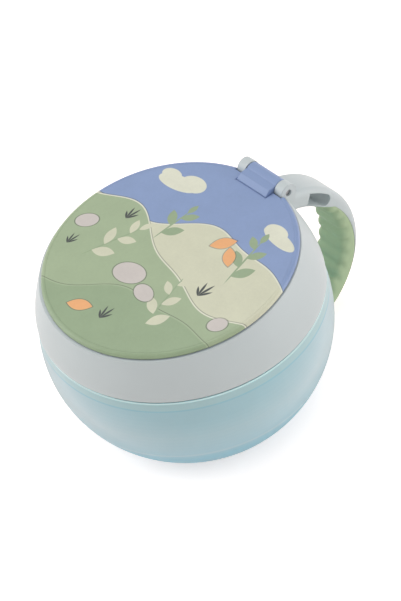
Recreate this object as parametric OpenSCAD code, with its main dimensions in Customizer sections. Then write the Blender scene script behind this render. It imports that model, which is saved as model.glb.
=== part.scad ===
// Toddler snack container: a translucent bowl under a screw-on collar. The collar carries
// a hinged lid, a C-shaped handle with a soft ribbed grip, and a soft insert of six flaps.
// Millimetres, +Z up. The origin is on the bowl's axis, on the surface that it stands on.
// The hinge and the handle are on the +Y side, and the hinge axis runs along X.

/* [Bowl] */
// Largest outer radius of the bowl
bowl_r = 49.4; // [44:0.2:56]
// Height of the bowl's shoulder above the base
bowl_h = 47.6; // [44:0.2:56]
// Height of the largest radius above the base
bowl_mid_z = 38; // [34:0.5:40]
// Vertical half axis of the bowl's oval side
bowl_half_h = 47.3; // [44:0.1:56]
// Wall thickness of the bowl
bowl_wall = 2.2; // [1.6:0.1:3]
// Thickness of the bowl's floor
bowl_floor = 3; // [2:0.1:5]
// Rounding between the base and the side
base_round = 2.5; // [1:0.1:4]
// Distance of the neck inside the bowl's largest radius
neck_inset = 6.8; // [6.4:0.1:8]
// Wall thickness of the neck
neck_wall = 2; // [1.4:0.1:2.6]
// Height of the neck above the shoulder
neck_h = 10.6; // [9:0.1:10.8]

/* [Screw thread] */
// Number of thread starts
thread_starts = 3; // [2:1:3]
// Rise of the thread in one full turn
thread_lead = 12; // [11:0.5:14]
// Height of the lowest ridge's start above the shoulder
thread_start = 2.4; // [2.2:0.1:3]
// Width of a ridge at its crest
ridge_crest = 0.8; // [0.6:0.1:1]
// Width of a ridge at its root
ridge_root = 1.4; // [1.2:0.1:1.6]
// Height of a ridge above its wall
ridge_h = 1.1; // [0.8:0.1:1.2]
// Arc that each ridge on the neck covers
neck_ridge_arc = 116; // [80:1:118]
// Arc that each ridge in the collar covers
collar_ridge_arc = 92; // [60:1:100]
// Radial gap between a ridge's crest and the facing wall
crest_gap = 0.45; // [0.3:0.05:0.6]
// Gap between the flanks of facing ridges
flank_gap = 0.35; // [0.25:0.05:0.5]

/* [Collar] */
// Distance of the collar's side inside the bowl's largest radius
collar_inset = 0.6; // [0:0.1:1]
// Gap between the bowl's shoulder and the collar's lower edge
shoulder_gap = 0.4; // [0.3:0.1:1]
// Height of the middle of the collar's rim above its lower edge
collar_h = 17.5; // [17.3:0.1:20]
// Height of the collar's upright lower stretch
collar_upright = 2; // [1:0.1:3]
// Distance that the side leans in up to the middle of the rim
collar_lean = 4.6; // [3.5:0.1:4.7]
// Power of the curve by which the side leans in
collar_power = 1.4; // [1.2:0.05:2]
// Bevel of the collar's lower edge
collar_bevel = 0.4; // [0.1:0.05:0.6]
// Thickness of the collar's deck
deck_t = 2; // [1.6:0.1:2.1]
// Radius of the mouth in the deck
mouth_r = 33; // [30:0.2:35]
// Height of the lip round the mouth above the deck
lip_h = 1.2; // [0.8:0.1:1.4]
// Thickness of the lip round the mouth
lip_t = 1.8; // [1.2:0.1:2.4]
// Thickness of the rim that the lid rests above
rim_t = 2.4; // [1.8:0.1:3]
// Radial depth of the rib that holds the insert's flange
snap_depth = 1.1; // [0.8:0.05:1.1]
// Height of that rib
snap_h = 1; // [0.8:0.1:1.4]

/* [Lid] */
// Distance of the lid's edge inside the collar's rim
lid_inset = 0.6; // [0.3:0.1:1]
// How far the lid's middle lies forward of the bowl's axis
lid_forward = 0.8; // [0.6:0.02:1]
// Angle by which the lid leans down towards the front
lid_tilt = 3.5; // [2.5:0.1:3.6]
// Thickness of the lid's plate
lid_t = 1.9; // [1.5:0.1:2.2]
// Rounding of the lid's edge
lid_round = 1.4; // [1:0.1:1.8]
// Width of the full-height band behind the lid's rounded edge
edge_w = 3; // [2:0.1:4]
// Rise of the lid's dome above its edge
dome_h = 2; // [1.6:0.1:3]
// Gap under the lid's edge
lid_gap = 0.4; // [0.3:0.05:0.8]
// Radial space between the plug and the mouth, which the seal fills
plug_gap = 1.4; // [1.2:0.1:2]
// Wall thickness of the plug
plug_wall = 1.6; // [1.2:0.1:2.2]
// Depth to which the plug reaches below the lip's top
plug_depth = 2.6; // [2.3:0.1:2.8]
// Height of the plug's foot under the seal
plug_foot_h = 0.8; // [0.6:0.1:0.9]
// Thickness of the printed film on the lid
label_t = 0.35; // [0.25:0.05:0.5]
// Border of bare lid round the printed film
label_border = 1.7; // [1.5:0.1:3]
// Height of the seal
seal_h = 1.5; // [1:0.1:1.6]
// Gap between the seal and the mouth
seal_gap = 0.35; // [0.3:0.05:0.5]

/* [Hinge] */
// Distance of the hinge pin behind the lid's edge
pin_back = 0.5; // [0:0.1:0.8]
// Height of the hinge pin above the plane of the lid's edge
pin_up = 0.5; // [0.3:0.1:1.5]
// Radius of the hinge pin
pin_r = 1.2; // [0.9:0.05:1.4]
// Radial clearance of the pin in the collar's ears
ear_fit = 0.03; // [0.02:0.01:0.05]
// Radial clearance of the lid's knuckle on the pin
knuckle_fit = 0.08; // [0.05:0.01:0.1]
// Half of the width of the lid's hinge block
block_half_w = 7.1; // [5.5:0.1:9]
// Gap between the block and each ear
ear_gap = 0.3; // [0.2:0.05:0.5]
// Thickness of each ear
ear_t = 3.55; // [2.5:0.05:5]
// Radius of the round head of each ear
ear_r = 3.2; // [2.8:0.1:3.5]
// Radius of the lid's knuckle
knuckle_r = 3; // [2.6:0.1:3.2]
// Gap round the knuckle and the block
knuckle_gap = 0.5; // [0.3:0.05:0.6]
// Gap round the ears in the lid's edge
notch_gap = 0.5; // [0.3:0.05:0.8]
// Height of the block's flat top above the pin
block_top = 2.35; // [2:0.05:2.5]
// Length of the block's flat top in front of the pin
block_front = 4.7; // [3.8:0.1:6]
// Length of the block's flat top behind the pin
block_back = 1.9; // [1:0.1:1.9]
// Length of the slope from the block's flat top down to the lid
block_slope = 2; // [1:0.1:4]
// Depth by which the pin's ends lie inside the ears
pin_recess = 0.7; // [0.3:0.1:1.2]

/* [Handle] */
// Distance of the handle arc's centre in front of the hinge pin
arc_forward = 3.7; // [2:0.1:5]
// Distance of the handle arc's centre below the collar's lower edge
arc_drop = 16.5; // [15:0.1:17]
// Inner radius of the handle's arc
arc_in = 24.4; // [22:0.1:25]
// Thickness of the handle
handle_t = 7.4; // [6.4:0.1:8]
// Width of the handle
handle_w = 14; // [11:0.2:16]
// Rounding of the handle's long edges
handle_round = 2.6; // [1.6:0.1:2.8]
// Angle of the handle's round end below the level of the arc's centre
tip_angle = 60; // [50:1:60]
// Thickness of the web inside the strap slot
slot_inner_web = 1.3; // [1:0.1:2]
// Thickness of the web outside the strap slot
slot_outer_web = 1.7; // [1.2:0.1:2.4]
// Angle where the strap slot's round end has its centre
slot_low = 43; // [42:1:48]
// Angle where the strap slot ends near the collar
slot_high = 60.5; // [56:0.5:64]

/* [Grip] */
// Distance of the grip's edge circle behind the arc's centre
edge_back = 1; // [0.6:0.1:1.4]
// Distance of the grip's edge circle below the arc's centre
edge_drop = 3.1; // [2.6:0.1:3.6]
// Radius of the grip's edge circle beyond the arc's inner radius
edge_extra = 3.9; // [3.4:0.1:4.3]
// Angle of the grip's upper end on the inside of the arc
grip_top = 50.5; // [48:0.5:52]
// Slope of the grip's upper end
grip_slope = 32; // [26:1:38]
// Angle below which the grip wraps right round the handle
wrap_angle = 36; // [32:1:42]
// Angle between neighbouring ribs
rib_pitch = 11; // [9:0.5:12]
// Angle that each rib covers
rib_arc = 7.4; // [5:0.1:8.5]
// Angle of the middle of the lowest rib
rib_first = -48; // [-50:0.5:-44]
// Number of ribs
rib_count = 8; // [5:1:8]
// Depth of the grooves between the ribs
rib_depth = 0.7; // [0.3:0.05:1]
// Reach of the grooves up the grip's sides from the inside of the arc
rib_reach = 4.3; // [3.2:0.1:4.5]
// Thickness of the frame's tongue inside the grip
tongue_t = 3; // [2:0.1:3.6]
// Width of the frame's tongue inside the grip
tongue_w = 7; // [5:0.2:8]

/* [Flap insert] */
// Thickness of the insert's flange
flange_t = 1.5; // [1.1:0.1:1.6]
// Gap between the flange's edge and the collar's bore
flange_gap = 0.45; // [0.3:0.05:0.6]
// Gap above and below the flange
seat_gap = 0.1; // [0.05:0.05:0.2]
// Distance of the insert's well inside the mouth's radius
well_inset = 4; // [2:0.1:5]
// Wall thickness of the insert's well
well_wall = 1.3; // [0.9:0.1:1.8]
// Depth of the flaps' underside below the flange's underside
well_depth = 4; // [3:0.1:6]
// Thickness of the flaps
flap_t = 1.2; // [0.8:0.1:1.6]
// Distance of each flap's hinge line inside the well's radius
flap_inset = 5; // [4.2:0.1:8]
// Width of the slits between the flaps
slit_w = 0.6; // [0.4:0.1:1]
// Gap at the hinge line of a flap
root_gap = 0.3; // [0.2:0.05:0.5]
// Radius of the small hole where the flaps' tips meet
tip_hole_r = 1.5; // [1.2:0.1:3]
// Radius of the round holes at the outer ends of the slits
relief_r = 1.8; // [1.5:0.1:2.2]

/* [Hidden] */
$fn = 96;
flap_count = 6;
// Number of straight stretches in each curved outline
side_points = 24;
// Degrees that one stretch of a ridge covers
ridge_step = 8;
// Depth by which a piece is sunk into the piece that it is moulded with
bite = 0.3;
// Reach of a cut that only has to pass right through
far = 60;

neck_r = bowl_r - neck_inset;
neck_in = neck_r - neck_wall;
neck_top = bowl_h + neck_h;
thread_bore_r = neck_r + ridge_h + crest_gap;
neck_ridge_z = bowl_h + thread_start;
collar_ridge_turn = (neck_ridge_arc - collar_ridge_arc) / 2;
collar_ridge_z = neck_ridge_z - (ridge_crest + ridge_root) / 2 - flank_gap
    + thread_lead * collar_ridge_turn / 360;

collar_z = bowl_h + shoulder_gap;
collar_r = bowl_r - collar_inset;
rim_z = collar_z + collar_h;
flange_z = neck_top + seat_gap;
flange_r = thread_bore_r - flange_gap;
deck_z = flange_z + flange_t + seat_gap;
deck_top = deck_z + deck_t;
lip_top = deck_top + lip_h;

lid_z = rim_z + lid_gap;
lid_r = collar_r - collar_lean - lid_inset;
dome_flat_r = lid_r - lid_round;
dome_r = (pow(dome_flat_r, 2) + pow(dome_h, 2)) / (2 * dome_h);
plug_r = mouth_r - plug_gap;
plug_z = lip_top - plug_depth;
seal_reach = plug_gap - seal_gap;

pin_y = lid_r - lid_forward + pin_back;
pin_z = lid_z + (pin_y + lid_forward) * tan(lid_tilt) + pin_up;
ear_in_x = block_half_w + ear_gap;
hinge_half_w = ear_in_x + ear_t;
notch_y = pin_y - ear_r - notch_gap;

arc_y = pin_y - arc_forward;
arc_z = collar_z - arc_drop;
arc_out = arc_in + handle_t;
arc_mid = arc_in + handle_t / 2;

well_r = mouth_r - well_inset;
flap_r = well_r - flap_inset;
flap_z = neck_top - well_depth;

// Outer radius of the bowl at height z
function side_r(z) = bowl_r * sqrt(1 - pow((z - bowl_mid_z) / bowl_half_h, 2));

// Points of the bowl's oval side from height a to height b, moved inwards by d
function side(a, b, d) = [for (i = [0 : side_points])
    let (z = a + (b - a) * i / side_points) [side_r(z) - d, z]];

// Distance that the collar's side leans in at height h above its upright stretch
function lean(h) = collar_lean * pow(h / (collar_h - collar_upright), collar_power);

// Height of the lid's dome above the plane of its edge at radius r
function dome_z(r) = lid_round + dome_h - dome_r + sqrt(pow(dome_r, 2) - pow(r, 2));

// Points of the dome out to radius r_max, moved down by d but not below the lid's edge
function dome(r_max, d) = [for (i = [0 : side_points])
    let (r = r_max * i / side_points) [r, max(dome_z(r) - d, 0)]];

function reversed(points) = [for (i = [len(points) - 1 : -1 : 0]) points[i]];

// Places its children in the plane of the lid's edge, which is z = 0 there
module in_lid_plane() {
    translate([0, -lid_forward, lid_z]) rotate([lid_tilt, 0, 0]) children();
}

// Extrudes a section drawn in (Y, Z) along X, from x = a to x = b
module along_x(a, b) {
    translate([a, 0, 0]) rotate([90, 0, 90]) linear_extrude(b - a) children();
}

// A bar along the hinge's axis
module pin_bar(r, half_w) {
    along_x(-half_w, half_w) translate([pin_y, pin_z]) circle(r);
}

// A ring from radius r_in to radius r_out
module ring(r_in, r_out, z, h) {
    translate([0, 0, z]) rotate_extrude() translate([r_in, 0]) square([r_out - r_in, h]);
}

// Places its children with their z axis on the handle arc's axis and x at an angle
module at_arc(angle) {
    translate([0, arc_y, arc_z]) rotate([90, 0, 90]) rotate([0, 0, angle]) children();
}

// Sweeps a section drawn as (radius, width) along the handle's arc
module sweep_arc(low, high) {
    at_arc(low) rotate_extrude(angle = high - low) children();
}

// One helical ridge from radius r_root to radius r_crest, starting at height z0
module ridge(r_root, r_crest, z0, arc_deg) {
    steps = ceil(arc_deg / ridge_step);
    points = [for (i = [0 : steps])
        let (a = arc_deg * i / steps, z = z0 + thread_lead * a / 360)
        each [[r_root * cos(a), r_root * sin(a), z - ridge_root / 2],
              [r_crest * cos(a), r_crest * sin(a), z - ridge_crest / 2],
              [r_crest * cos(a), r_crest * sin(a), z + ridge_crest / 2],
              [r_root * cos(a), r_root * sin(a), z + ridge_root / 2]]];
    sides = [for (i = [0 : steps - 1], k = [0 : 3])
        let (p = 4 * i + k, q = 4 * i + (k + 1) % 4) each [[p, q, q + 4], [p, q + 4, p + 4]]];
    last = 4 * steps;
    ends = [[3, 2, 1], [3, 1, 0], [last, last + 1, last + 2], [last, last + 2, last + 3]];
    faces = concat(sides, ends);
    polyhedron(points, r_crest > r_root ? faces : [for (f = faces) reversed(f)]);
}

// Cup with an oval side, a flat base and a threaded neck
module bowl() {
    base_slope = atan2(side_r(base_round) - side_r(0), base_round);
    base_r = side_r(0) - base_round * tan(45 - base_slope / 2);
    corner_z = base_round * (1 - sin(base_slope));
    inside_top = bowl_h - bowl_wall;
    color([0.70, 0.83, 0.86, 0.6]) {
        rotate_extrude() polygon(concat(
            [[0, 0], [base_r, 0]],
            side(corner_z, bowl_h, 0),
            [[neck_r, bowl_h], [neck_r, neck_top], [neck_in, neck_top], [neck_in, inside_top]],
            side(inside_top - bowl_wall / 2, bowl_floor, bowl_wall),
            [[0, bowl_floor]]));
        for (k = [0 : thread_starts - 1])
            rotate([0, 0, k * 360 / thread_starts])
                ridge(neck_r - bite, neck_r + ridge_h, neck_ridge_z, neck_ridge_arc);
    }
}

// Solid outer form of the collar, cut off on top along the plane under the lid
module collar_form() {
    leaning = lid_z + lid_r * tan(lid_tilt) - collar_z - collar_upright;
    difference() {
        rotate_extrude() polygon(concat(
            [[0, collar_z], [collar_r - collar_bevel, collar_z],
             [collar_r, collar_z + collar_bevel]],
            [for (i = [0 : side_points])
                let (h = leaning * i / side_points)
                [collar_r - lean(h), collar_z + collar_upright + h]],
            [[0, collar_z + collar_upright + leaning]]));
        in_lid_plane() translate([-far, -far, -lid_gap]) cube([2 * far, 2 * far, far]);
    }
}

// The two plates that hold the hinge pin
module ears() {
    foot_y = collar_r - lean(deck_top - collar_z - collar_upright) - 1;
    for (x = [-hinge_half_w, ear_in_x])
        along_x(x, x + ear_t) {
            translate([pin_y, pin_z]) circle(ear_r);
            polygon([[pin_y - ear_r, pin_z], [pin_y + ear_r, pin_z],
                     [foot_y, deck_top - bite], [pin_y - ear_r, deck_top - bite]]);
        }
}

// The hollow between the deck, the lip round the mouth and the rim
module collar_moat() {
    difference() {
        in_lid_plane() translate([0, 0, -far / 2]) cylinder(r = lid_r - rim_t, h = far);
        translate([0, 0, deck_top - far]) cylinder(r = bowl_r + far, h = far);
        cylinder(r = mouth_r + lip_t, h = lip_top);
        ears();
    }
}

// Rib in the collar's bore that holds the flange of the flap insert
module snap_rib() {
    rib_top = neck_top - seat_gap;
    rotate_extrude() polygon([
        [thread_bore_r + bite, rib_top], [thread_bore_r - snap_depth, rib_top],
        [thread_bore_r - snap_depth, rib_top - snap_h / 3],
        [thread_bore_r + bite, rib_top - snap_h]]);
}

// Screw-on ring with the mouth, the moat round it and the hinge ears
module collar() {
    color([0.81, 0.86, 0.84]) {
        difference() {
            union() {
                collar_form();
                ears();
            }
            translate([0, 0, collar_z - 1])
                cylinder(r = thread_bore_r, h = deck_z - collar_z + 1);
            cylinder(r = mouth_r, h = lip_top + far);
            collar_moat();
            pin_bar(knuckle_r + knuckle_gap, ear_in_x);
            translate([-ear_in_x, pin_y - far, lip_top]) cube([2 * ear_in_x, far, far]);
            pin_bar(pin_r + ear_fit, far);
        }
        snap_rib();
        for (k = [0 : thread_starts - 1])
            rotate([0, 0, k * 360 / thread_starts + collar_ridge_turn])
                ridge(thread_bore_r + bite, neck_r + crest_gap, collar_ridge_z, collar_ridge_arc);
    }
}

// Section of the handle as (radius, width), with rounded corners, inset by d
module handle_section(d) {
    half_t = handle_t / 2 - d;
    half_w = handle_w / 2 - d;
    translate([arc_mid, 0]) {
        square([2 * (half_t - handle_round), 2 * half_w], center = true);
        square([2 * half_t, 2 * (half_w - handle_round)], center = true);
        for (x = [-1, 1], y = [-1, 1])
            translate([x * (half_t - handle_round), y * (half_w - handle_round)])
                circle(handle_round);
    }
}

// Where the grip lies: inside its edge circle, and right round the handle near its end
module grip_zone() {
    along_x(-handle_w, handle_w) translate([arc_y, arc_z]) {
        difference() {
            translate([edge_back, -edge_drop]) circle(arc_in + edge_extra);
            translate(arc_in * [cos(grip_top), sin(grip_top)]) rotate(-grip_slope)
                translate([-far, 0]) square([2 * far, far]);
        }
        rotate(-wrap_angle) translate([0, -2 * arc_out]) square([2 * arc_out, 2 * arc_out]);
    }
}

// Slot through the handle for a strap or a clip
module strap_slot() {
    low_r = arc_in + slot_inner_web;
    high_r = arc_out - slot_outer_web;
    sweep_arc(slot_low, slot_high) translate([low_r, -handle_w])
        square([high_r - low_r, 2 * handle_w]);
    at_arc(slot_low) translate([(low_r + high_r) / 2, 0, 0])
        cylinder(r = (high_r - low_r) / 2, h = 2 * handle_w, center = true);
}

// Flat tongue of the frame that the grip is moulded round
module tongue() {
    sweep_arc(-tip_angle, slot_low - rib_pitch)
        translate([arc_mid - tongue_t / 2, -tongue_w / 2]) square([tongue_t, tongue_w]);
}

// Rigid arch: slotted root, spine along the outside and tongue inside the grip
module handle_frame() {
    color([0.79, 0.83, 0.83]) {
        difference() {
            sweep_arc(-wrap_angle, 90) handle_section(0);
            grip_zone();
            collar_form();
            ears();
            strap_slot();
        }
        tongue();
    }
}

// Half of a coin with the handle's section, which rounds its free end
module round_end() {
    at_arc(-tip_angle) translate([arc_mid, 0, 0]) rotate([0, 0, 180])
        rotate_extrude(angle = 180) intersection() {
            translate([-arc_mid, 0]) handle_section(0);
            translate([0, -handle_w]) square(2 * handle_w);
        }
}

// Soft cover moulded round the tongue, with grooves across its inside and sides
module handle_grip() {
    ribs_low = rib_first - rib_pitch / 2;
    groove_arc = rib_pitch - rib_arc;
    color([0.62, 0.71, 0.54]) difference() {
        union() {
            intersection() {
                sweep_arc(-tip_angle, grip_top + rib_pitch) handle_section(0);
                grip_zone();
            }
            round_end();
        }
        for (k = [0 : rib_count - 1])
            sweep_arc(ribs_low + k * rib_pitch - groove_arc / 2,
                      ribs_low + k * rib_pitch + groove_arc / 2)
                difference() {
                    translate([0, -handle_w]) square([arc_in + rib_reach, 2 * handle_w]);
                    handle_section(rib_depth);
                }
        tongue();
    }
}

// Steel pin through the ears and the lid's knuckle
module hinge_pin() {
    color([0.72, 0.72, 0.73]) pin_bar(pin_r, hinge_half_w - pin_recess);
}

// Room for the ears in the lid's edge
module ear_notch() {
    translate([-hinge_half_w - notch_gap, notch_y, lid_z - far / 2])
        cube([2 * (hinge_half_w + notch_gap), far, far]);
}

// Domed plate with a rounded edge and a shallow recess for the printed film
module lid_plate() {
    in_lid_plane() difference() {
        rotate_extrude() {
            polygon(concat(dome(dome_flat_r, 0), reversed(dome(dome_flat_r, lid_t))));
            translate([dome_flat_r - edge_w, 0]) square([edge_w, lid_round]);
            translate([dome_flat_r, 0]) intersection() {
                circle(lid_round);
                square(lid_round);
            }
        }
        rotate_extrude() polygon(concat(dome(lid_r - label_border, -1),
            reversed(dome(lid_r - label_border, label_t))));
    }
}

// Ring under the lid that enters the mouth, with a foot that carries the seal
module plug() {
    in_r = plug_r - plug_wall;
    intersection() {
        union() {
            ring(in_r, plug_r, plug_z, far);
            ring(in_r, plug_r + seal_reach / 2, plug_z, plug_foot_h);
        }
        in_lid_plane() translate([0, 0, -far])
            cylinder(r = far, h = far + dome_z(plug_r) - lid_t / 2);
    }
}

// Block that joins the lid to its knuckle
module hinge_block() {
    front_y = pin_y - block_front;
    foot_y = front_y - block_slope;
    foot_z = lid_z + (foot_y + lid_forward) * tan(lid_tilt);
    along_x(-block_half_w, block_half_w) {
        translate([pin_y, pin_z]) circle(knuckle_r);
        polygon([[pin_y + block_back, pin_z], [pin_y + block_back, pin_z + block_top],
                 [front_y, pin_z + block_top], [foot_y, foot_z + dome_z(foot_y)],
                 [foot_y, foot_z + dome_z(foot_y) - lid_t],
                 [pin_y - knuckle_r + bite, pin_z - knuckle_r / 2]]);
    }
}

// Lid moulding: plate, plug and hinge block with the pin's bore
module lid_shell() {
    color([0.57, 0.65, 0.81]) difference() {
        union() {
            difference() {
                lid_plate();
                ear_notch();
            }
            plug();
            hinge_block();
        }
        pin_bar(pin_r + knuckle_fit, far);
    }
}

// Printed film in the recess on top of the lid, cut out round the hinge
module lid_label() {
    cut_half_w = block_half_w + notch_gap;
    color([0.66, 0.72, 0.60]) difference() {
        in_lid_plane() rotate_extrude() polygon(concat(dome(lid_r - label_border, 0),
            reversed(dome(lid_r - label_border, label_t))));
        translate([-cut_half_w, pin_y - block_front - block_slope - notch_gap, lid_z - far / 2])
            cube([2 * cut_half_w, far, far]);
        ear_notch();
    }
}

// Soft ring round the plug, with a round outer edge
module lid_seal() {
    bead_r = seal_reach / 2;
    color([0.90, 0.91, 0.89])
        translate([0, 0, plug_z + plug_foot_h]) rotate_extrude() {
            translate([plug_r, 0]) square([bead_r, seal_h]);
            translate([plug_r + bead_r, seal_h / 2]) circle(bead_r);
        }
}

// Round holes at the outer ends of the slits, where the flaps' hinge lines meet
module slit_ends() {
    for (k = [1 : flap_count])
        rotate([0, 0, (k - 0.5) * 360 / flap_count])
            translate([flap_r / cos(180 / flap_count), 0, 0]) cylinder(r = relief_r, h = far + flap_z);
}

// Soft ring held between the bowl's neck and the collar's deck, with a six-sided hole
module flap_ring() {
    color([0.86, 0.90, 0.88]) difference() {
        union() {
            translate([0, 0, flange_z]) cylinder(r = flange_r, h = flange_t);
            translate([0, 0, flap_z]) cylinder(r = well_r + well_wall, h = flange_z - flap_z + bite);
        }
        translate([0, 0, flap_z + flap_t]) cylinder(r = well_r, h = far);
        rotate([0, 0, 180 / flap_count])
            cylinder(r = flap_r / cos(180 / flap_count), h = far + flap_z, $fn = flap_count);
        slit_ends();
    }
}

// One soft flap; its hinge line is its straight side nearest to the ring
module flap(k) {
    root = flap_r - root_gap;
    slit = slit_w / 2 / cos(180 / flap_count);
    root_half = root * tan(180 / flap_count) - slit;
    tip_half = tip_hole_r * tan(180 / flap_count) - slit;
    color([0.86, 0.90, 0.88]) difference() {
        rotate([0, 0, (k - 1) * 360 / flap_count])
            translate([0, 0, flap_z]) linear_extrude(flap_t)
                polygon([[root, -root_half], [root, root_half],
                         [tip_hole_r, tip_half], [tip_hole_r, -tip_half]]);
        slit_ends();
    }
}

bowl();
collar();
handle_frame();
handle_grip();
hinge_pin();
lid_shell();
lid_label();
lid_seal();
flap_ring();
flap(1);  // flap_1
flap(2);  // flap_2
flap(3);  // flap_3
flap(4);  // flap_4
flap(5);  // flap_5
flap(6);  // flap_6
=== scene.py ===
import math

import bmesh
import bpy
from mathutils import Matrix, Vector


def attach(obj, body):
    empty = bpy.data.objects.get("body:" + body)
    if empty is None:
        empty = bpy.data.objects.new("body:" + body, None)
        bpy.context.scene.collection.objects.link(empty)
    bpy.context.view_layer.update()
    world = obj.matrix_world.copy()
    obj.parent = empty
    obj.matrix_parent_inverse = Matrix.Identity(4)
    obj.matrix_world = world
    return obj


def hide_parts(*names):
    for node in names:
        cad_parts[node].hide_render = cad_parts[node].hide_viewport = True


# Looks of a toddler snack container: a translucent bowl, a pale collar with a handle and a
# soft ribbed grip, and a blue lid with a printed film. Everything is in metres, in the frame
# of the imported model; shapes below are written in millimetres and turned into metres by MM.

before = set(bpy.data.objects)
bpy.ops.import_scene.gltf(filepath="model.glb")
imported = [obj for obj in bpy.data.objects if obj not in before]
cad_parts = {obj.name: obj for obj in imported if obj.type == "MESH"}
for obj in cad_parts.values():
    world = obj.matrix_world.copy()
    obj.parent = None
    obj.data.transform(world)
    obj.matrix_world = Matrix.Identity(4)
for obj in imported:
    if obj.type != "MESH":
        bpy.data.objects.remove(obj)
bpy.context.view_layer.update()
MM = 0.001


# ---------------------------------------------------------------- short calls for nodes

def screen(red, green, blue):
    """The linear colour of a screen colour given from 0 to 255."""
    parts = [c / 255 for c in (red, green, blue)]
    return (*[c / 12.92 if c < 0.04045 else ((c + 0.055) / 1.055) ** 2.4 for c in parts], 1)


def add(tree, kind, inputs=None, **settings):
    """A node with its settings made and its inputs set or linked, by name or by number."""
    node = tree.nodes.new("ShaderNode" + kind)
    for name, value in settings.items():
        setattr(node, name, value)
    for name, value in (inputs or {}).items():
        if isinstance(value, bpy.types.NodeSocket):
            tree.links.new(value, node.inputs[name])
        else:
            node.inputs[name].default_value = value
    return node


def calc(tree, operation, *values, clamp=False):
    """The result of one Math node."""
    return add(tree, "Math", dict(enumerate(values)), operation=operation,
               use_clamp=clamp).outputs[0]


def over(tree, mask, below, above):
    """The colour above laid over the colour below where the mask is 1."""
    return add(tree, "Mix", {0: mask, 6: below, 7: above}, data_type="RGBA").outputs[2]


def noise(tree, place, size, detail=3.0, roughness=0.5):
    """Noise from 0 to 1 whose lumps are about size metres across."""
    return add(tree, "TexNoise", {"Vector": place, "Scale": 1 / size, "Detail": detail,
                                  "Roughness": roughness}).outputs["Fac"]


def new_group(name, inputs, outputs):
    """A shader node group: (tree, its input node, its output node)."""
    tree = bpy.data.node_groups.new(name, "ShaderNodeTree")
    for side, sockets in (("INPUT", inputs), ("OUTPUT", outputs)):
        for label, kind in sockets:
            tree.interface.new_socket(label, in_out=side, socket_type="NodeSocket" + kind)
    return tree, tree.nodes.new("NodeGroupInput"), tree.nodes.new("NodeGroupOutput")


def use_group(tree, group, inputs=None):
    """The group placed as one node, with its inputs set or linked by name."""
    return add(tree, "Group", inputs, node_tree=group)


# ---------------------------------------------------------------- shared effects

# The print, in millimetres: how soft a motif's edge is across its width, how sharply a hill's
# edge turns (per mm), and the width of the dark line round a motif or above a hill.
INK_SOFT, HILL_SHARP, INK_LINE = 0.15, 6.0, 0.3
# A hill's second, quicker wave: its rate and shift against the first one's, and its share.
QUICK_RATE, QUICK_SHIFT, QUICK_SHARE = 2.3, 1.7, 0.35
# How far the smudges raise and lower the roughness together.
SMUDGE = 0.16


def moulded_group():
    """Moulded skin: a fine eroded grain, faint cloudiness, and smudges that dull the gloss."""
    tree, given, result = new_group(
        "moulded_skin",
        [("Colour", "Color"), ("Grain", "Float"), ("Clouding", "Float"), ("Gloss", "Float")],
        [("Colour", "Color"), ("Roughness", "Float"), ("Height", "Float")])
    place = add(tree, "TexCoord").outputs["Object"]
    fine = add(tree, "TexNoise", {"Vector": place, "Scale": given.outputs["Grain"],
                                  "Detail": 3.0, "Roughness": 0.6}).outputs["Fac"]
    cloud = noise(tree, place, 11 * MM)
    smudge = noise(tree, place, 5 * MM, 4.0, 0.65)
    tone = calc(tree, "MULTIPLY_ADD", calc(tree, "SUBTRACT", cloud, 0.5),
                given.outputs["Clouding"], 1.0)
    speck = calc(tree, "MULTIPLY_ADD", calc(tree, "SUBTRACT", fine, 0.5),
                 calc(tree, "MULTIPLY", given.outputs["Clouding"], 0.5), tone)
    shaded = add(tree, "VectorMath", {0: given.outputs["Colour"], 1: speck},
                 operation="MULTIPLY").outputs[0]
    dull = calc(tree, "MULTIPLY_ADD", calc(tree, "SUBTRACT", smudge, 0.5), SMUDGE,
                given.outputs["Gloss"])
    for name, value in (("Colour", shaded), ("Roughness", dull), ("Height", fine)):
        tree.links.new(value, result.inputs[name])
    return tree


def motif_group():
    """Mask of one printed motif: an oval for Power 2, or a pointed leaf for Power 1."""
    tree, given, result = new_group(
        "printed_motif",
        [("Place", "Vector"), ("Centre", "Vector"), ("Turn", "Float"), ("Half Length", "Float"),
         ("Half Width", "Float"), ("Power", "Float")],
        [("Mask", "Float")])
    shifted = add(tree, "VectorMath", {0: given.outputs["Place"], 1: given.outputs["Centre"]},
                  operation="SUBTRACT").outputs[0]
    turned = add(tree, "VectorRotate", {"Vector": shifted, "Angle": given.outputs["Turn"]},
                 rotation_type="Z_AXIS", invert=True).outputs[0]
    parts = add(tree, "SeparateXYZ", {0: turned})
    along = calc(tree, "DIVIDE", parts.outputs[0], given.outputs["Half Length"])
    across = calc(tree, "DIVIDE", calc(tree, "ABSOLUTE", parts.outputs[1]),
                  given.outputs["Half Width"])
    spread = calc(tree, "ADD", calc(tree, "MULTIPLY", along, along),
                  calc(tree, "POWER", across, given.outputs["Power"]))
    sharp = calc(tree, "MULTIPLY", calc(tree, "SUBTRACT", 1.0, spread),
                 calc(tree, "DIVIDE", given.outputs["Half Width"], INK_SOFT))
    tree.links.new(calc(tree, "ADD", sharp, 0.5, clamp=True), result.inputs["Mask"])
    return tree


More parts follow.
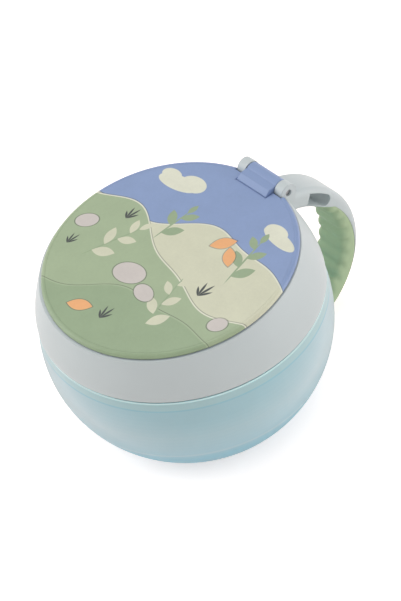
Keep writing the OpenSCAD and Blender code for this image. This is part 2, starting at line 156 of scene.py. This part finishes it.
def hill_group():
    """Masks of a printed hill: what lies below a wavy line, and thin lines inside and outside."""
    tree, given, result = new_group(
        "printed_hill",
        [("Place", "Vector"), ("Level", "Float"), ("Slope", "Float"), ("Swell", "Float"),
         ("Wave", "Float"), ("Shift", "Float"), ("Line", "Float")],
        [("Mask", "Float"), ("Rim", "Float"), ("Shade", "Float")])
    parts = add(tree, "SeparateXYZ", {0: given.outputs["Place"]})
    swing = calc(tree, "SINE", calc(tree, "MULTIPLY_ADD", parts.outputs[0],
                                    given.outputs["Wave"], given.outputs["Shift"]))
    quick = calc(tree, "SINE", calc(tree, "MULTIPLY_ADD", parts.outputs[0],
                                    calc(tree, "MULTIPLY", given.outputs["Wave"], QUICK_RATE),
                                    calc(tree, "MULTIPLY", given.outputs["Shift"], QUICK_SHIFT)))
    height = calc(tree, "MULTIPLY_ADD", calc(tree, "MULTIPLY_ADD", quick, QUICK_SHARE, swing),
                  given.outputs["Swell"], given.outputs["Level"])
    line = calc(tree, "MULTIPLY_ADD", parts.outputs[0], given.outputs["Slope"], height)
    depth = calc(tree, "SUBTRACT", line, parts.outputs[1])
    mask = calc(tree, "MULTIPLY_ADD", depth, HILL_SHARP, 0.5, clamp=True)
    inner = calc(tree, "MULTIPLY_ADD", calc(tree, "SUBTRACT", depth, given.outputs["Line"]),
                 HILL_SHARP, 0.5, clamp=True)
    outer = calc(tree, "MULTIPLY_ADD", calc(tree, "ADD", depth, INK_LINE), HILL_SHARP, 0.5,
                 clamp=True)
    tree.links.new(mask, result.inputs["Mask"])
    tree.links.new(calc(tree, "SUBTRACT", mask, inner), result.inputs["Rim"])
    tree.links.new(calc(tree, "SUBTRACT", outer, mask), result.inputs["Shade"])
    return tree


SKIN = moulded_group()
MOTIF = motif_group()
HILL = hill_group()


# ---------------------------------------------------------------- materials

COLLAR_GREY = screen(206, 214, 215)
AQUA = screen(198, 233, 241)
MINT = screen(212, 241, 240)
# PALE_AQUA and EDGE_AQUA paint the bowl paler towards its outline as painted light; PALE_AQUA
# also draws the floor's pale line.
PALE_AQUA = screen(230, 248, 253)
EDGE_AQUA = screen(200, 220, 223)
DEEP_AQUA = screen(150, 220, 238)
BASE_AQUA = screen(130, 224, 250)
BLUE = screen(140, 161, 202)
SAGE = screen(168, 185, 150)
DEEP_SAGE = screen(154, 174, 139)
CREAM = screen(218, 218, 192)
PALE_CREAM = screen(232, 232, 212)
WARM_GREY = screen(212, 204, 198)
ORANGE = screen(246, 180, 122)
DARK = screen(58, 64, 62)
GRIP_GREEN = screen(182, 202, 162)
SEAL_WHITE = screen(224, 228, 226)
FLAP_WHITE = screen(226, 234, 230)
DARK_STEEL, PALE_STEEL = screen(120, 120, 122), screen(190, 190, 192)

# Heights on the bowl (mm): the shoulder's painted highlight, a thin glowing line, the line
# under the neck that shows through, and the floor's upper edge. Then the heights between which
# the tint deepens
# towards the floor, and once more at the foot.
SHOULDER_HIGHLIGHT_HEIGHT, NECK_LINE, FLOOR_LINE = 47.2, 44.1, 18.8
DEPTH_HIGH, DEPTH_LOW, FOOT_HIGH, FOOT_LOW = 31, 13, 18.6, 14.6
# The lid (mm): how far its middle lies in front of the axis of the bowl, the radius at which
# the print passes from the film to the lid's own edge, half the hinge block's width with its
# gap, and where the block begins. UNDERSIDE is the normal's height below which nothing is
# printed.
LID_FORWARD, FILM_R, BLOCK_HALF, BLOCK_FRONT = 0.8, 40, 7.3, 30
UNDERSIDE = -0.3


def new_material(name):
    """An empty node material: (material, tree, Principled shader)."""
    material = bpy.data.materials.new(name)
    material.use_nodes = True
    tree = material.node_tree
    tree.nodes.clear()
    shader = add(tree, "BsdfPrincipled")
    tree.links.new(shader.outputs[0], add(tree, "OutputMaterial").inputs["Surface"])
    return material, tree, shader


def finish_skin(tree, shader, colour, grain, clouding, roughness, depth, rounding=0.0):
    """Feeds a shader from the moulded skin.

    Grain is the size of its pits and depth their depth. Rounding is the radius to which sharp
    edges are shaded; the mesh keeps its edges.
    """
    skin = use_group(tree, SKIN, {"Colour": colour, "Grain": 1 / grain, "Clouding": clouding,
                                  "Gloss": roughness})
    bump = add(tree, "Bump", {"Height": skin.outputs["Height"], "Strength": 1.0,
                              "Distance": depth})
    if rounding:
        edge = add(tree, "Bevel", {"Radius": rounding}, samples=6)
        tree.links.new(edge.outputs[0], bump.inputs["Normal"])
    tree.links.new(skin.outputs["Colour"], shader.inputs["Base Color"])
    tree.links.new(skin.outputs["Roughness"], shader.inputs["Roughness"])
    tree.links.new(bump.outputs[0], shader.inputs["Normal"])


def plain_moulding(name, colour, grain=0.35 * MM, clouding=0.05, roughness=0.42,
                   depth=0.006 * MM, rounding=0.0, **shader_values):
    """An opaque moulding in one colour; shader_values are sockets, with _ for a space."""
    material, tree, shader = new_material(name)
    for socket, value in shader_values.items():
        shader.inputs[socket.replace("_", " ")].default_value = value
    finish_skin(tree, shader, colour, grain, clouding, roughness, depth, rounding)
    return material


def level_line(tree, height, level, half_width):
    """1 at a height, falling to 0 at half_width above and below it."""
    off = calc(tree, "ABSOLUTE", calc(tree, "SUBTRACT", height, level))
    return calc(tree, "MULTIPLY_ADD", off, -1 / half_width, 1.0, clamp=True)


def bowl_material():
    """Tinted see-through plastic with a softly frosted skin.

    The plastic is painted deepest where it is seen head on and paler towards the outline, as
    painted light that makes its sides glow. It is deepest at the thick floor, whose upper edge
    is a faint pale line. Under the collar a band is paler, because the neck behind it shows
    through, and the shoulder's edge carries a thin painted highlight that glows.
    """
    material, tree, shader = new_material("bowl_tint")
    shader.inputs["Transmission Weight"].default_value = 0.3
    shader.inputs["IOR"].default_value = 1.45
    # Painted light: the colour pales with the angle of view towards the outline, so the sides
    # glow.
    edge_on = add(tree, "LayerWeight", {"Blend": 0.35}).outputs["Facing"]
    painted_edge_light = add(tree, "ValToRGB", {0: edge_on})
    stops = painted_edge_light.color_ramp.elements
    stops.new(0.5)
    for index, stop in enumerate(((0.22, AQUA), (0.52, PALE_AQUA), (0.85, EDGE_AQUA))):
        stops[index].position, stops[index].color = stop
    height = add(tree, "SeparateXYZ", {0: add(tree, "TexCoord").outputs["Object"]}).outputs[2]
    band = add(tree, "MapRange", {0: height, 1: (NECK_LINE - 0.3) * MM,
                                  2: (NECK_LINE + 0.3) * MM}).outputs[0]
    band_line = level_line(tree, height, NECK_LINE * MM, 0.45 * MM)
    depth = add(tree, "MapRange", {0: height, 1: DEPTH_HIGH * MM,
                                   2: DEPTH_LOW * MM}).outputs[0]
    floor_line = level_line(tree, height, FLOOR_LINE * MM, 1.2 * MM)
    foot = add(tree, "MapRange", {0: height, 1: FOOT_HIGH * MM, 2: FOOT_LOW * MM}).outputs[0]
    tint = painted_edge_light.outputs[0]
    for mask, strength, colour in ((band, 0.55, MINT), (band_line, 0.55, DEEP_AQUA),
                                   (depth, 0.72, DEEP_AQUA), (floor_line, 0.5, PALE_AQUA),
                                   (foot, 0.3, BASE_AQUA)):
        tint = over(tree, calc(tree, "MULTIPLY", mask, strength), tint, colour)
    # Painted highlight: the shoulder's edge glows in mint through emission, though no lamp is
    # there.
    painted_shoulder_highlight = level_line(tree, height, SHOULDER_HIGHLIGHT_HEIGHT * MM, 0.4 * MM)
    shader.inputs["Emission Color"].default_value = MINT
    tree.links.new(calc(tree, "MULTIPLY", painted_shoulder_highlight, 0.38), shader.inputs["Emission Strength"])
    finish_skin(tree, shader, tint, 0.4 * MM, 0.03, 0.4, 0.004 * MM)
    return material


def steel_material():
    """Bright steel with fine lines along the pin."""
    material, tree, shader = new_material("drawn_steel")
    shader.inputs["Metallic"].default_value = 1.0
    place = add(tree, "TexCoord").outputs["Object"]
    stretched = add(tree, "Mapping", {"Vector": place, "Scale": (0.05, 1, 1)}).outputs[0]
    lines = noise(tree, stretched, 0.08 * MM)
    tone = add(tree, "ValToRGB", {0: lines})
    tone.color_ramp.elements[0].color = DARK_STEEL
    tone.color_ramp.elements[1].color = PALE_STEEL
    tree.links.new(tone.outputs[0], shader.inputs["Base Color"])
    tree.links.new(calc(tree, "MULTIPLY_ADD", lines, 0.2, 0.25), shader.inputs["Roughness"])
    return material


# Motifs of the print as (right, top, turn, half length, half width).
CLOUDS = ((-22, 24, 0.1, 8.5, 3.2), (-17, 26.5, 0, 5.4, 3.6), (-27, 25.6, 0, 4.2, 2.6),
          (25, 27, -0.1, 7.5, 2.6), (22, 28.6, 0, 4.6, 3))
PEBBLES = ((-4, -14, 0.2, 6.2, 4.2), (6.5, -17, -0.2, 4.2, 2.9), (-35, -6, 0.5, 4.2, 3),
           (36, -11, 0.9, 3.4, 2.6))
PETALS = ((12, 14, 0.9, 4.6, 2.3), (18, 11, 2.3, 4.2, 2.1), (-8, -33, 0.4, 4.8, 2.2))
TUFTS = ((22, -7, 3.4), (-24, 2, 3.0), (2, -33, 3.0), (-33, -17, 2.6))


# A leaf's half length and half width against the step between leaves, how much smaller each
# next leaf is, and how far it turns from the stem (radians).
LEAF_LENGTH, LEAF_WIDTH, LEAF_SHRINK, LEAF_TURN = 0.95, 0.44, 0.09, 0.75
# The blades of a tuft as (turn, share of the size), and their half width against the size.
BLADES, BLADE_WIDTH = ((0.95, 0.75), (1.35, 1.0), (1.8, 0.9), (2.3, 0.6)), 0.13
# How dark the lines round motifs and above hills are, and the width of a hill's pale rim (mm).
OUTLINE_SHARE, SHADE_SHARE, RIM_LINE = 0.5, 0.55, 0.5


def sprig(x, y, turn, count, step):
    """Leaves of one sprig as (x, y, turn, half length, half width), and its stem."""
    length, width = LEAF_LENGTH * step, LEAF_WIDTH * step
    ux, uy = math.cos(turn), math.sin(turn)
    leaves = []
    for i in range(count):
        side = 1 if i % 2 else -1
        grown = 1 - LEAF_SHRINK * i
        angle = turn + side * LEAF_TURN
        reach = length * grown
        leaves.append((x + ux * step * (i + 0.6) + math.cos(angle) * reach,
                       y + uy * step * (i + 0.6) + math.sin(angle) * reach,
                       angle, reach, width * grown))
    tip = step * (count + 0.4)
    leaves.append((x + ux * (tip + length * 0.5), y + uy * (tip + length * 0.5), turn,
                   length * 0.6, width * 0.6))
    stem = (x + ux * tip / 2, y + uy * tip / 2, turn, tip / 2 + 0.6, 0.32)
    return leaves, stem


def tuft(x, y, size):
    """Blades of one tuft of grass as (x, y, turn, half length, half width)."""
    blades = []
    for angle, share in BLADES:
        reach = size * share
        blades.append((x + math.cos(angle) * reach, y + math.sin(angle) * reach, angle, reach,
                       BLADE_WIDTH * size))
    return blades


def print_group():
    """Generic print: hills in sage and cream under a blue sky, with leaves and pebbles."""
    tree, _, result = new_group("lid_print", [], [("Colour", "Color")])
    spot = add(tree, "TexCoord").outputs["Object"]
    # Millimetres with the lid's middle as the origin. The picture's top is at the hinge, so
    # its right is +X and its top is +Y.
    parts = add(tree, "SeparateXYZ", {0: spot})
    right = calc(tree, "MULTIPLY", parts.outputs[0], 1 / MM)
    top = calc(tree, "MULTIPLY_ADD", parts.outputs[1], 1 / MM, LID_FORWARD)
    flat = add(tree, "CombineXYZ", {0: right, 1: top}).outputs[0]

    def mask_of(motifs, power, margin=0.0):
        """Mask of several motifs, grown by a margin."""
        total = None
        for x, y, turn, half_length, half_width in motifs:
            mask = use_group(tree, MOTIF, {
                "Place": flat, "Centre": (x, y, 0), "Turn": turn,
                "Half Length": half_length + 1.6 * margin, "Half Width": half_width + margin,
                "Power": power}).outputs[0]
            total = mask if total is None else calc(tree, "MAXIMUM", total, mask)
        return total

    def outlined(motifs, power, below, ink):
        """Motifs in one ink with a thin dark line round them."""
        edge = calc(tree, "MULTIPLY", mask_of(motifs, power, INK_LINE), OUTLINE_SHARE)
        return over(tree, mask_of(motifs, power), over(tree, edge, below, DARK), ink)

    def hill(colour, rim, below, level, slope, swell, wave, shift):
        """A hill in one colour with a pale rim, and a thin dark line above it."""
        made = use_group(tree, HILL, {"Place": flat, "Level": level, "Slope": slope,
                                      "Swell": swell, "Wave": wave, "Shift": shift,
                                      "Line": RIM_LINE})
        shade = calc(tree, "MULTIPLY", made.outputs["Shade"], SHADE_SHARE)
        edged = over(tree, shade, below, DARK)
        filled = over(tree, made.outputs["Mask"], edged, colour)
        return over(tree, made.outputs["Rim"], filled, rim)

    colour = over(tree, mask_of(CLOUDS, 2.0), BLUE, PALE_CREAM)
    colour = hill(CREAM, PALE_CREAM, colour, 12, 0.10, 4.6, 0.085, 0.6)
    colour = hill(SAGE, PALE_CREAM, colour, -1, -0.16, 5.0, 0.075, 3.4)
    colour = hill(DEEP_SAGE, SAGE, colour, -23, 0.22, 3.4, 0.09, 1.2)
    pale, deep, stems = [], [], []
    for kind, *place in ((pale, -24, -17, 1.15, 4, 4.6), (pale, 17, -28, 1.75, 5, 4.4),
                         (deep, 25, 3, 1.75, 4, 4.4), (deep, -9, 2, 1.5, 3, 4.2)):
        leaves, stem = sprig(*place)
        kind += leaves
        stems.append(stem)
    colour = over(tree, mask_of(stems, 2.0), colour, DEEP_SAGE)
    colour = over(tree, mask_of(deep, 1.0), colour, DEEP_SAGE)
    colour = over(tree, mask_of(pale, 1.0), colour, CREAM)
    colour = outlined(PEBBLES, 2.0, colour, WARM_GREY)
    colour = outlined(PETALS, 1.0, colour, ORANGE)
    blades = [blade for place in TUFTS for blade in tuft(*place)]
    colour = over(tree, mask_of(blades, 1.0), colour, DARK)
    fibre = noise(tree, spot, 1.1 * MM, 4.0, 0.7)
    wash = noise(tree, spot, 7 * MM)
    tone = calc(tree, "ADD", calc(tree, "MULTIPLY_ADD", fibre, 0.12, 0.88),
                calc(tree, "MULTIPLY", wash, 0.14))
    inked = add(tree, "VectorMath", {0: colour, 1: tone}, operation="MULTIPLY").outputs[0]
    tree.links.new(inked, result.inputs["Colour"])
    return tree


def print_material(print_tree):
    """The printed film: the print under a thin clear coat."""
    material, tree, shader = new_material("printed_film")
    shader.inputs["Coat Weight"].default_value = 0.12
    shader.inputs["Coat Roughness"].default_value = 0.25
    printed = use_group(tree, print_tree).outputs[0]
    finish_skin(tree, shader, printed, 0.22 * MM, 0.02, 0.4, 0.003 * MM, 0.1 * MM)
    return material


def lid_material(print_tree):
    """The lid's blue plastic; the print runs on over the lid's rounded edge."""
    material, tree, shader = new_material("lid_satin")
    parts = add(tree, "SeparateXYZ", {0: add(tree, "TexCoord").outputs["Object"]})
    x, y = parts.outputs[0], calc(tree, "ADD", parts.outputs[1], LID_FORWARD * MM)
    radius = calc(tree, "SQRT", calc(tree, "MULTIPLY_ADD", x, x, calc(tree, "MULTIPLY", y, y)))
    near_edge = calc(tree, "GREATER_THAN", radius, FILM_R * MM)
    beside = calc(tree, "GREATER_THAN", calc(tree, "ABSOLUTE", x), BLOCK_HALF * MM)
    in_front = calc(tree, "LESS_THAN", y, BLOCK_FRONT * MM)
    facing = add(tree, "SeparateXYZ", {0: add(tree, "TexCoord").outputs["Normal"]})
    outside = calc(tree, "GREATER_THAN", facing.outputs[2], UNDERSIDE)
    mask = calc(tree, "MULTIPLY", calc(tree, "MULTIPLY", near_edge, outside),
                calc(tree, "MAXIMUM", beside, in_front))
    printed = use_group(tree, print_tree).outputs[0]
    finish_skin(tree, shader, over(tree, mask, BLUE, printed), 0.3 * MM, 0.05, 0.4,
                0.005 * MM, 0.45 * MM)
    return material


def dress_nodes():
    """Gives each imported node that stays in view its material."""
    print_tree = print_group()
    collar_plastic = plain_moulding("collar_satin", COLLAR_GREY, rounding=0.3 * MM)
    seal_rubber = plain_moulding("seal_silicone", SEAL_WHITE, clouding=0.03,
                                 roughness=0.55, rounding=0.1 * MM)
    flap_rubber = plain_moulding("flap_silicone", FLAP_WHITE, clouding=0.03,
                                 roughness=0.55, rounding=0.2 * MM, Subsurface_Weight=0.2,
                                 Subsurface_Radius=(2 * MM, 2.4 * MM, 2.2 * MM))
    finishes = {
        "bowl": bowl_material(),
        "collar": collar_plastic,
        "handle_frame": collar_plastic,
        "hinge_pin": steel_material(),
        "lid_shell": lid_material(print_tree),
        "lid_label": print_material(print_tree),
        "lid_seal": seal_rubber,
        "flap_ring": flap_rubber,
    }
    finishes.update({f"flap_{number}": flap_rubber for number in range(1, 7)})
    for name, material in finishes.items():
        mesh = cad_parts[name].data
        mesh.materials.clear()
        mesh.materials.append(material)


# ---------------------------------------------------------------- the grip

# The handle's arc, in the plane across the hinge axis: its centre, its inner radius, the
# handle's thickness and width, and the rounding of its long edges (mm). Then the angle of the
# arc's lower end, and the one up to which the cover wraps right round the handle.
ARC_Y, ARC_Z = 39.6, 31.5
ARC_IN, THICK, WIDTH, CORNER = 24.4, 7.4, 14.0, 2.6
TIP, WRAP = -60.0, -36.0
# The circle that the grip's edge follows, as (behind, below, radius), and its upper end.
EDGE_BACK, EDGE_DROP, EDGE_R = 1.0, 3.1, 28.3
TOP, TOP_SLOPE = 50.5, 32.0
# What edge_radius gives where the cover wraps right round the handle and has no edge.
NO_EDGE = 99.0
# Grooves between the ribs: the lowest one, their spacing, half width (degrees) and depth.
GROOVE_LOW, GROOVE_PITCH, GROOVE_HALF, GROOVE_DEPTH = -53.5, 11.0, 5.0, 0.7
# Distances from the arc's inside, and from the grip's edge, between which a groove fades out.
GROOVE_FADE, GROOVE_EDGE_FADE = (1.2, 3.8), (1.2, 0.3)
# The seam towards the frame: its depth, its width (mm) and its reach at the top (degrees).
SEAM_DEPTH, SEAM_WIDTH, SEAM_TOP = 0.14, 0.5, 3
# Stretches in a corner, a long side and a short side of the section, and rings of the end.
CORNER_STEPS, LONG_STEPS, SHORT_STEPS, END_STEPS = 8, 12, 6, 10
# Degrees between rings, the lengths under which points merge and faces vanish (mm), and the
# angle from which an edge is shaded sharp.
RING_STEP, MERGE, NARROW, SHARP_ANGLE = 0.5, 0.004, 0.002, 40


def section_points():
    """The section round the arc's middle line as (outward, sideways) and the skin's normal."""
    half_t, half_w = THICK / 2 - CORNER, WIDTH / 2 - CORNER
    corners = ((-1, 1, 90), (-1, -1, 180), (1, -1, 270), (1, 1, 0))
    points = []
    for index, (sx, sy, start) in enumerate(corners):
        for step in range(CORNER_STEPS + 1):
            angle = math.radians(start + 90 * step / CORNER_STEPS)
            nx, ny = math.cos(angle), math.sin(angle)
            points.append((sx * half_t + CORNER * nx, sy * half_w + CORNER * ny, nx, ny))
        rho, w, nx, ny = points[-1]
        next_x, next_y, _ = corners[(index + 1) % 4]
        to_next = (next_x * half_t + CORNER * nx - rho, next_y * half_w + CORNER * ny - w)
        count = SHORT_STEPS if index % 2 else LONG_STEPS
        for step in range(1, count):
            share = step / count
            points.append((rho + to_next[0] * share, w + to_next[1] * share, nx, ny))
    return points


def edge_radius(angle):
    """Radius of the grip's edge, from the arc's centre, at an angle in degrees."""
    if angle <= WRAP:
        return NO_EDGE
    a = math.radians(angle)
    along = EDGE_BACK * math.cos(a) - EDGE_DROP * math.sin(a)
    return along + math.sqrt(along ** 2 - EDGE_BACK ** 2 - EDGE_DROP ** 2 + EDGE_R ** 2)


def top_angle(radius):
    """Angle in degrees where the grip ends at a radius: along a line that slopes down."""
    reach = ARC_IN * math.cos(math.radians(90 - TOP_SLOPE - TOP))
    return 90 - TOP_SLOPE - math.degrees(math.acos(min(reach / radius, 1)))


def fade(value, low, high):
    """0 up to low and 1 from high on, with a smooth rise between them."""
    share = min(max((value - low) / (high - low), 0), 1)
    return share * share * (3 - 2 * share)


def groove(angle):
    """1 in the middle of a groove, 0 on the ribs."""
    off = abs((angle - GROOVE_LOW + GROOVE_PITCH / 2) % GROOVE_PITCH - GROOVE_PITCH / 2)
    return 0.5 + 0.5 * math.cos(math.pi * off / GROOVE_HALF) if off < GROOVE_HALF else 0


def grip_ring(section, angle, edge):
    """One ring of the grip's skin, in metres."""
    ring = []
    middle = ARC_IN + THICK / 2
    for rho, w, nx, ny in section:
        radius = min(middle + rho, edge)
        at = min(angle, top_angle(max(radius, ARC_IN)))
        if at > WRAP and edge < NO_EDGE:
            radius = min(radius, edge_radius(at))
        inside, outside = GROOVE_FADE
        depth = GROOVE_DEPTH * groove(at) * (1 - fade(radius, ARC_IN + inside, ARC_IN + outside))
        from_edge, to_edge = (edge_radius(at) - reach for reach in GROOVE_EDGE_FADE)
        depth *= 1 - fade(radius, from_edge, to_edge)
        if edge < NO_EDGE:
            depth += (SEAM_DEPTH * fade(radius, edge - SEAM_WIDTH, edge)
                      + SEAM_DEPTH * fade(at, TOP - SEAM_TOP, TOP))
        r, x = radius - depth * nx, w - depth * ny
        a = math.radians(at)
        ring.append((x * MM, (ARC_Y + r * math.cos(a)) * MM, (ARC_Z + r * math.sin(a)) * MM))
    return ring


def end_ring(section, share):
    """One ring of the grip's round end; share runs from 0 at the arc to 1 at the tip."""
    ring = []
    middle, a = ARC_IN + THICK / 2, math.radians(TIP)
    for rho, w, _, _ in section:
        over_edge = max(abs(w) - (WIDTH / 2 - CORNER), 0)
        reach = THICK / 2 - CORNER + math.sqrt(max(CORNER ** 2 - over_edge ** 2, 0))
        lean = math.asin(max(min(rho / reach, 1), -1)) * (1 - share)
        r, out = middle + reach * math.sin(lean), reach * math.cos(lean)
        ring.append((w * MM, (ARC_Y + r * math.cos(a) + out * math.sin(a)) * MM,
                     (ARC_Z + r * math.sin(a) - out * math.cos(a)) * MM))
    return ring


def make_mesh(name, verts, faces, material):
    """A smooth-shaded closed mesh, with doubled points merged and its faces turned out."""
    mesh = bpy.data.meshes.new(name)
    mesh.from_pydata(verts, [], faces)
    work = bmesh.new()
    work.from_mesh(mesh)
    bmesh.ops.remove_doubles(work, verts=work.verts, dist=MERGE * MM)
    bmesh.ops.dissolve_degenerate(work, edges=work.edges, dist=NARROW * MM)
    bmesh.ops.recalc_face_normals(work, faces=work.faces)
    work.to_mesh(mesh)
    work.free()
    mesh.materials.append(material)
    mesh.shade_smooth()
    mesh.set_sharp_from_angle(angle=math.radians(SHARP_ANGLE))
    made = bpy.data.objects.new(name, mesh)
    bpy.context.scene.collection.objects.link(made)
    return made


def make_grip():
    """Soft cover on the inside of the handle, with rounded ribs and a round free end."""
    section = section_points()
    count = len(section)
    rings = [end_ring(section, share / END_STEPS) for share in range(END_STEPS, -1, -1)]
    for step in range(round((WRAP - TIP) / RING_STEP) + 1):
        rings.append(grip_ring(section, TIP + step * RING_STEP, NO_EDGE))
    for step in range(round((TOP - WRAP) / RING_STEP) + 1):
        angle = WRAP + step * RING_STEP
        # The edge begins just above WRAP, so it is asked for a hair further on.
        rings.append(grip_ring(section, angle, edge_radius(angle + 1e-6)))
    verts = [point for ring in rings for point in ring]
    faces = [(r * count + i, r * count + (i + 1) % count, (r + 1) * count + (i + 1) % count,
              (r + 1) * count + i) for r in range(len(rings) - 1) for i in range(count)]
    middle = len(verts)
    last = (len(rings) - 1) * count
    verts.append(tuple(sum(rings[-1][i][k] for i in range(count)) / count for k in range(3)))
    faces += [(last + i, last + (i + 1) % count, middle) for i in range(count)]
    rubber = plain_moulding("grip_silicone", GRIP_GREEN, grain=0.18 * MM,
                            clouding=0.06, roughness=0.6, depth=0.004 * MM)
    grip = make_mesh("grip_cover", verts, faces, rubber)
    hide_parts("handle_grip")
    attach(grip, "collar")


# ---------------------------------------------------------------- camera and studio

# The camera's azimuth, elevation and roll (degrees), its place (m) and its lens (mm).
CAMERA_TURN = (57.59, 43.8, -13.48)
CAMERA_PLACE, CAMERA_LENS, SENSOR = (0.89565, -0.56163, 1.05787), 264.47, 36.0
# What the lamps face, and each lamp's name, place (m), width (m) and power (W).
AIM = (0, 0, 0.04)
LAMPS = (("lamp_left", (-0.75, -0.62, 0.62), 0.8, 4.4),
         ("lamp_right", (0.75, 0.85, 0.26), 0.8, 4.8),
         ("lamp_front", (1.05, -0.75, 0.16), 0.8, 2.1),
         ("lamp_top", (-0.25, 0.15, 1.15), 0.8, 2.6))
# Brightness of the sky as light; the floor's lift under the object, kept low and warm as
# painted shade, and its step beside it, where the painted shade ends.
SKY_LEVEL, FLOOR_LIFT, FLOOR_STEP = 0.45, 0.54, 0.14
# Distances from the object's middle (m) between which the step, and then the full lift, come.
STEP_FROM, STEP_TO, FULL_FROM, FULL_TO = 0.031, 0.041, 0.12, 0.5
FLOOR_COLOUR, SHADE_WARM_LIFT, WHITE = (0.83, 0.79, 0.77, 1), (1, 0.91, 0.90, 1), (1, 1, 1, 1)
# The floor's half width (m) and its gap under the base (mm).
FLOOR_HALF, FLOOR_GAP = 4, 0.05


def make_camera():
    """The photograph's view: from the right and the front, high up, and slightly rolled."""
    azimuth, elevation, roll = (math.radians(a) for a in CAMERA_TURN)
    back = Vector((math.sin(azimuth) * math.cos(elevation),
                   -math.cos(azimuth) * math.cos(elevation), math.sin(elevation)))
    level = Vector((math.cos(azimuth), math.sin(azimuth), 0))
    up = back.cross(level)
    right = level * math.cos(roll) + up * math.sin(roll)
    top = up * math.cos(roll) - level * math.sin(roll)
    data = bpy.data.cameras.new("camera")
    data.lens, data.sensor_width = CAMERA_LENS, SENSOR
    camera = bpy.data.objects.new("camera", data)
    camera.matrix_world = (Matrix.Translation(CAMERA_PLACE)
                           @ Matrix((right, top, back)).transposed().to_4x4())
    bpy.context.scene.collection.objects.link(camera)
    bpy.context.scene.camera = camera


def softbox(name, place, size, watts):
    """A square area light that faces the object."""
    data = bpy.data.lights.new(name, "AREA")
    data.size, data.energy = size, watts
    light = bpy.data.objects.new(name, data)
    light.location = place
    light.rotation_euler = (Vector(AIM) - Vector(place)).to_track_quat("-Z", "Y").to_euler()
    bpy.context.scene.collection.objects.link(light)


def seen_directly(tree):
    """1 for rays of the camera, and for those that a gloss or a clear piece sends on."""
    path = add(tree, "LightPath")
    seen = calc(tree, "MAXIMUM", path.outputs["Is Camera Ray"], path.outputs["Is Glossy Ray"])
    return calc(tree, "MAXIMUM", seen, path.outputs["Is Transmission Ray"])


def make_sky():
    """White where it is seen, and softer as light."""
    world = bpy.data.worlds.new("studio")
    bpy.context.scene.world = world
    world.use_nodes = True
    tree = world.node_tree
    tree.nodes.clear()
    level = calc(tree, "MULTIPLY_ADD", seen_directly(tree), 1 - SKY_LEVEL, SKY_LEVEL)
    sky = add(tree, "Background", {"Color": WHITE, "Strength": level})
    tree.links.new(sky.outputs[0], add(tree, "OutputWorld").inputs["Surface"])


def floor_material():
    """Pale floor with the lamps' shadow and painted shade: lifted little and warm near the
    object, to white away.
    """
    material, tree, shader = new_material("pale_floor")
    shader.inputs["Base Color"].default_value = FLOOR_COLOUR
    shader.inputs["Roughness"].default_value = 0.9
    shader.inputs["Specular IOR Level"].default_value = 0.1
    spot = add(tree, "TexCoord").outputs["Object"]
    distance = add(tree, "VectorMath", {0: spot}, operation="LENGTH").outputs["Value"]
    away = add(tree, "MapRange", {0: distance, 1: FULL_FROM, 2: FULL_TO}).outputs[0]
    beside = add(tree, "MapRange", {0: distance, 1: STEP_FROM, 2: STEP_TO}).outputs[0]
    tree.links.new(over(tree, away, SHADE_WARM_LIFT, WHITE), shader.inputs["Emission Color"])
    # Painted shade: near the object the floor is lifted less and in warm light, so it stays
    # darker there on top of the lamps' shadow.
    painted_shade_lift = calc(tree, "MULTIPLY_ADD", beside, FLOOR_STEP, FLOOR_LIFT)
    lift = calc(tree, "MULTIPLY_ADD", away, 1 - FLOOR_LIFT - FLOOR_STEP, painted_shade_lift)
    tree.links.new(calc(tree, "MULTIPLY", seen_directly(tree), lift),
                   shader.inputs["Emission Strength"])
    # Seen from below, the floor is clear, so that the object's base stays in view.
    above = calc(tree, "SUBTRACT", 1.0, add(tree, "NewGeometry").outputs["Backfacing"])
    tree.links.new(above, shader.inputs["Alpha"])
    return material


def make_studio():
    """Plain view settings, white sky, large soft lamps and the floor."""
    bpy.context.scene.view_settings.view_transform = "Standard"
    make_sky()
    for lamp in LAMPS:
        softbox(*lamp)
    mesh = bpy.data.meshes.new("floor")
    corners = [(x * FLOOR_HALF, y * FLOOR_HALF, -FLOOR_GAP * MM)
               for x, y in ((-1, -1), (1, -1), (1, 1), (-1, 1))]
    mesh.from_pydata(corners, [], [(0, 1, 2, 3)])
    mesh.materials.append(floor_material())
    floor = bpy.data.objects.new("floor", mesh)
    bpy.context.scene.collection.objects.link(floor)


make_camera()
make_studio()
dress_nodes()
make_grip()
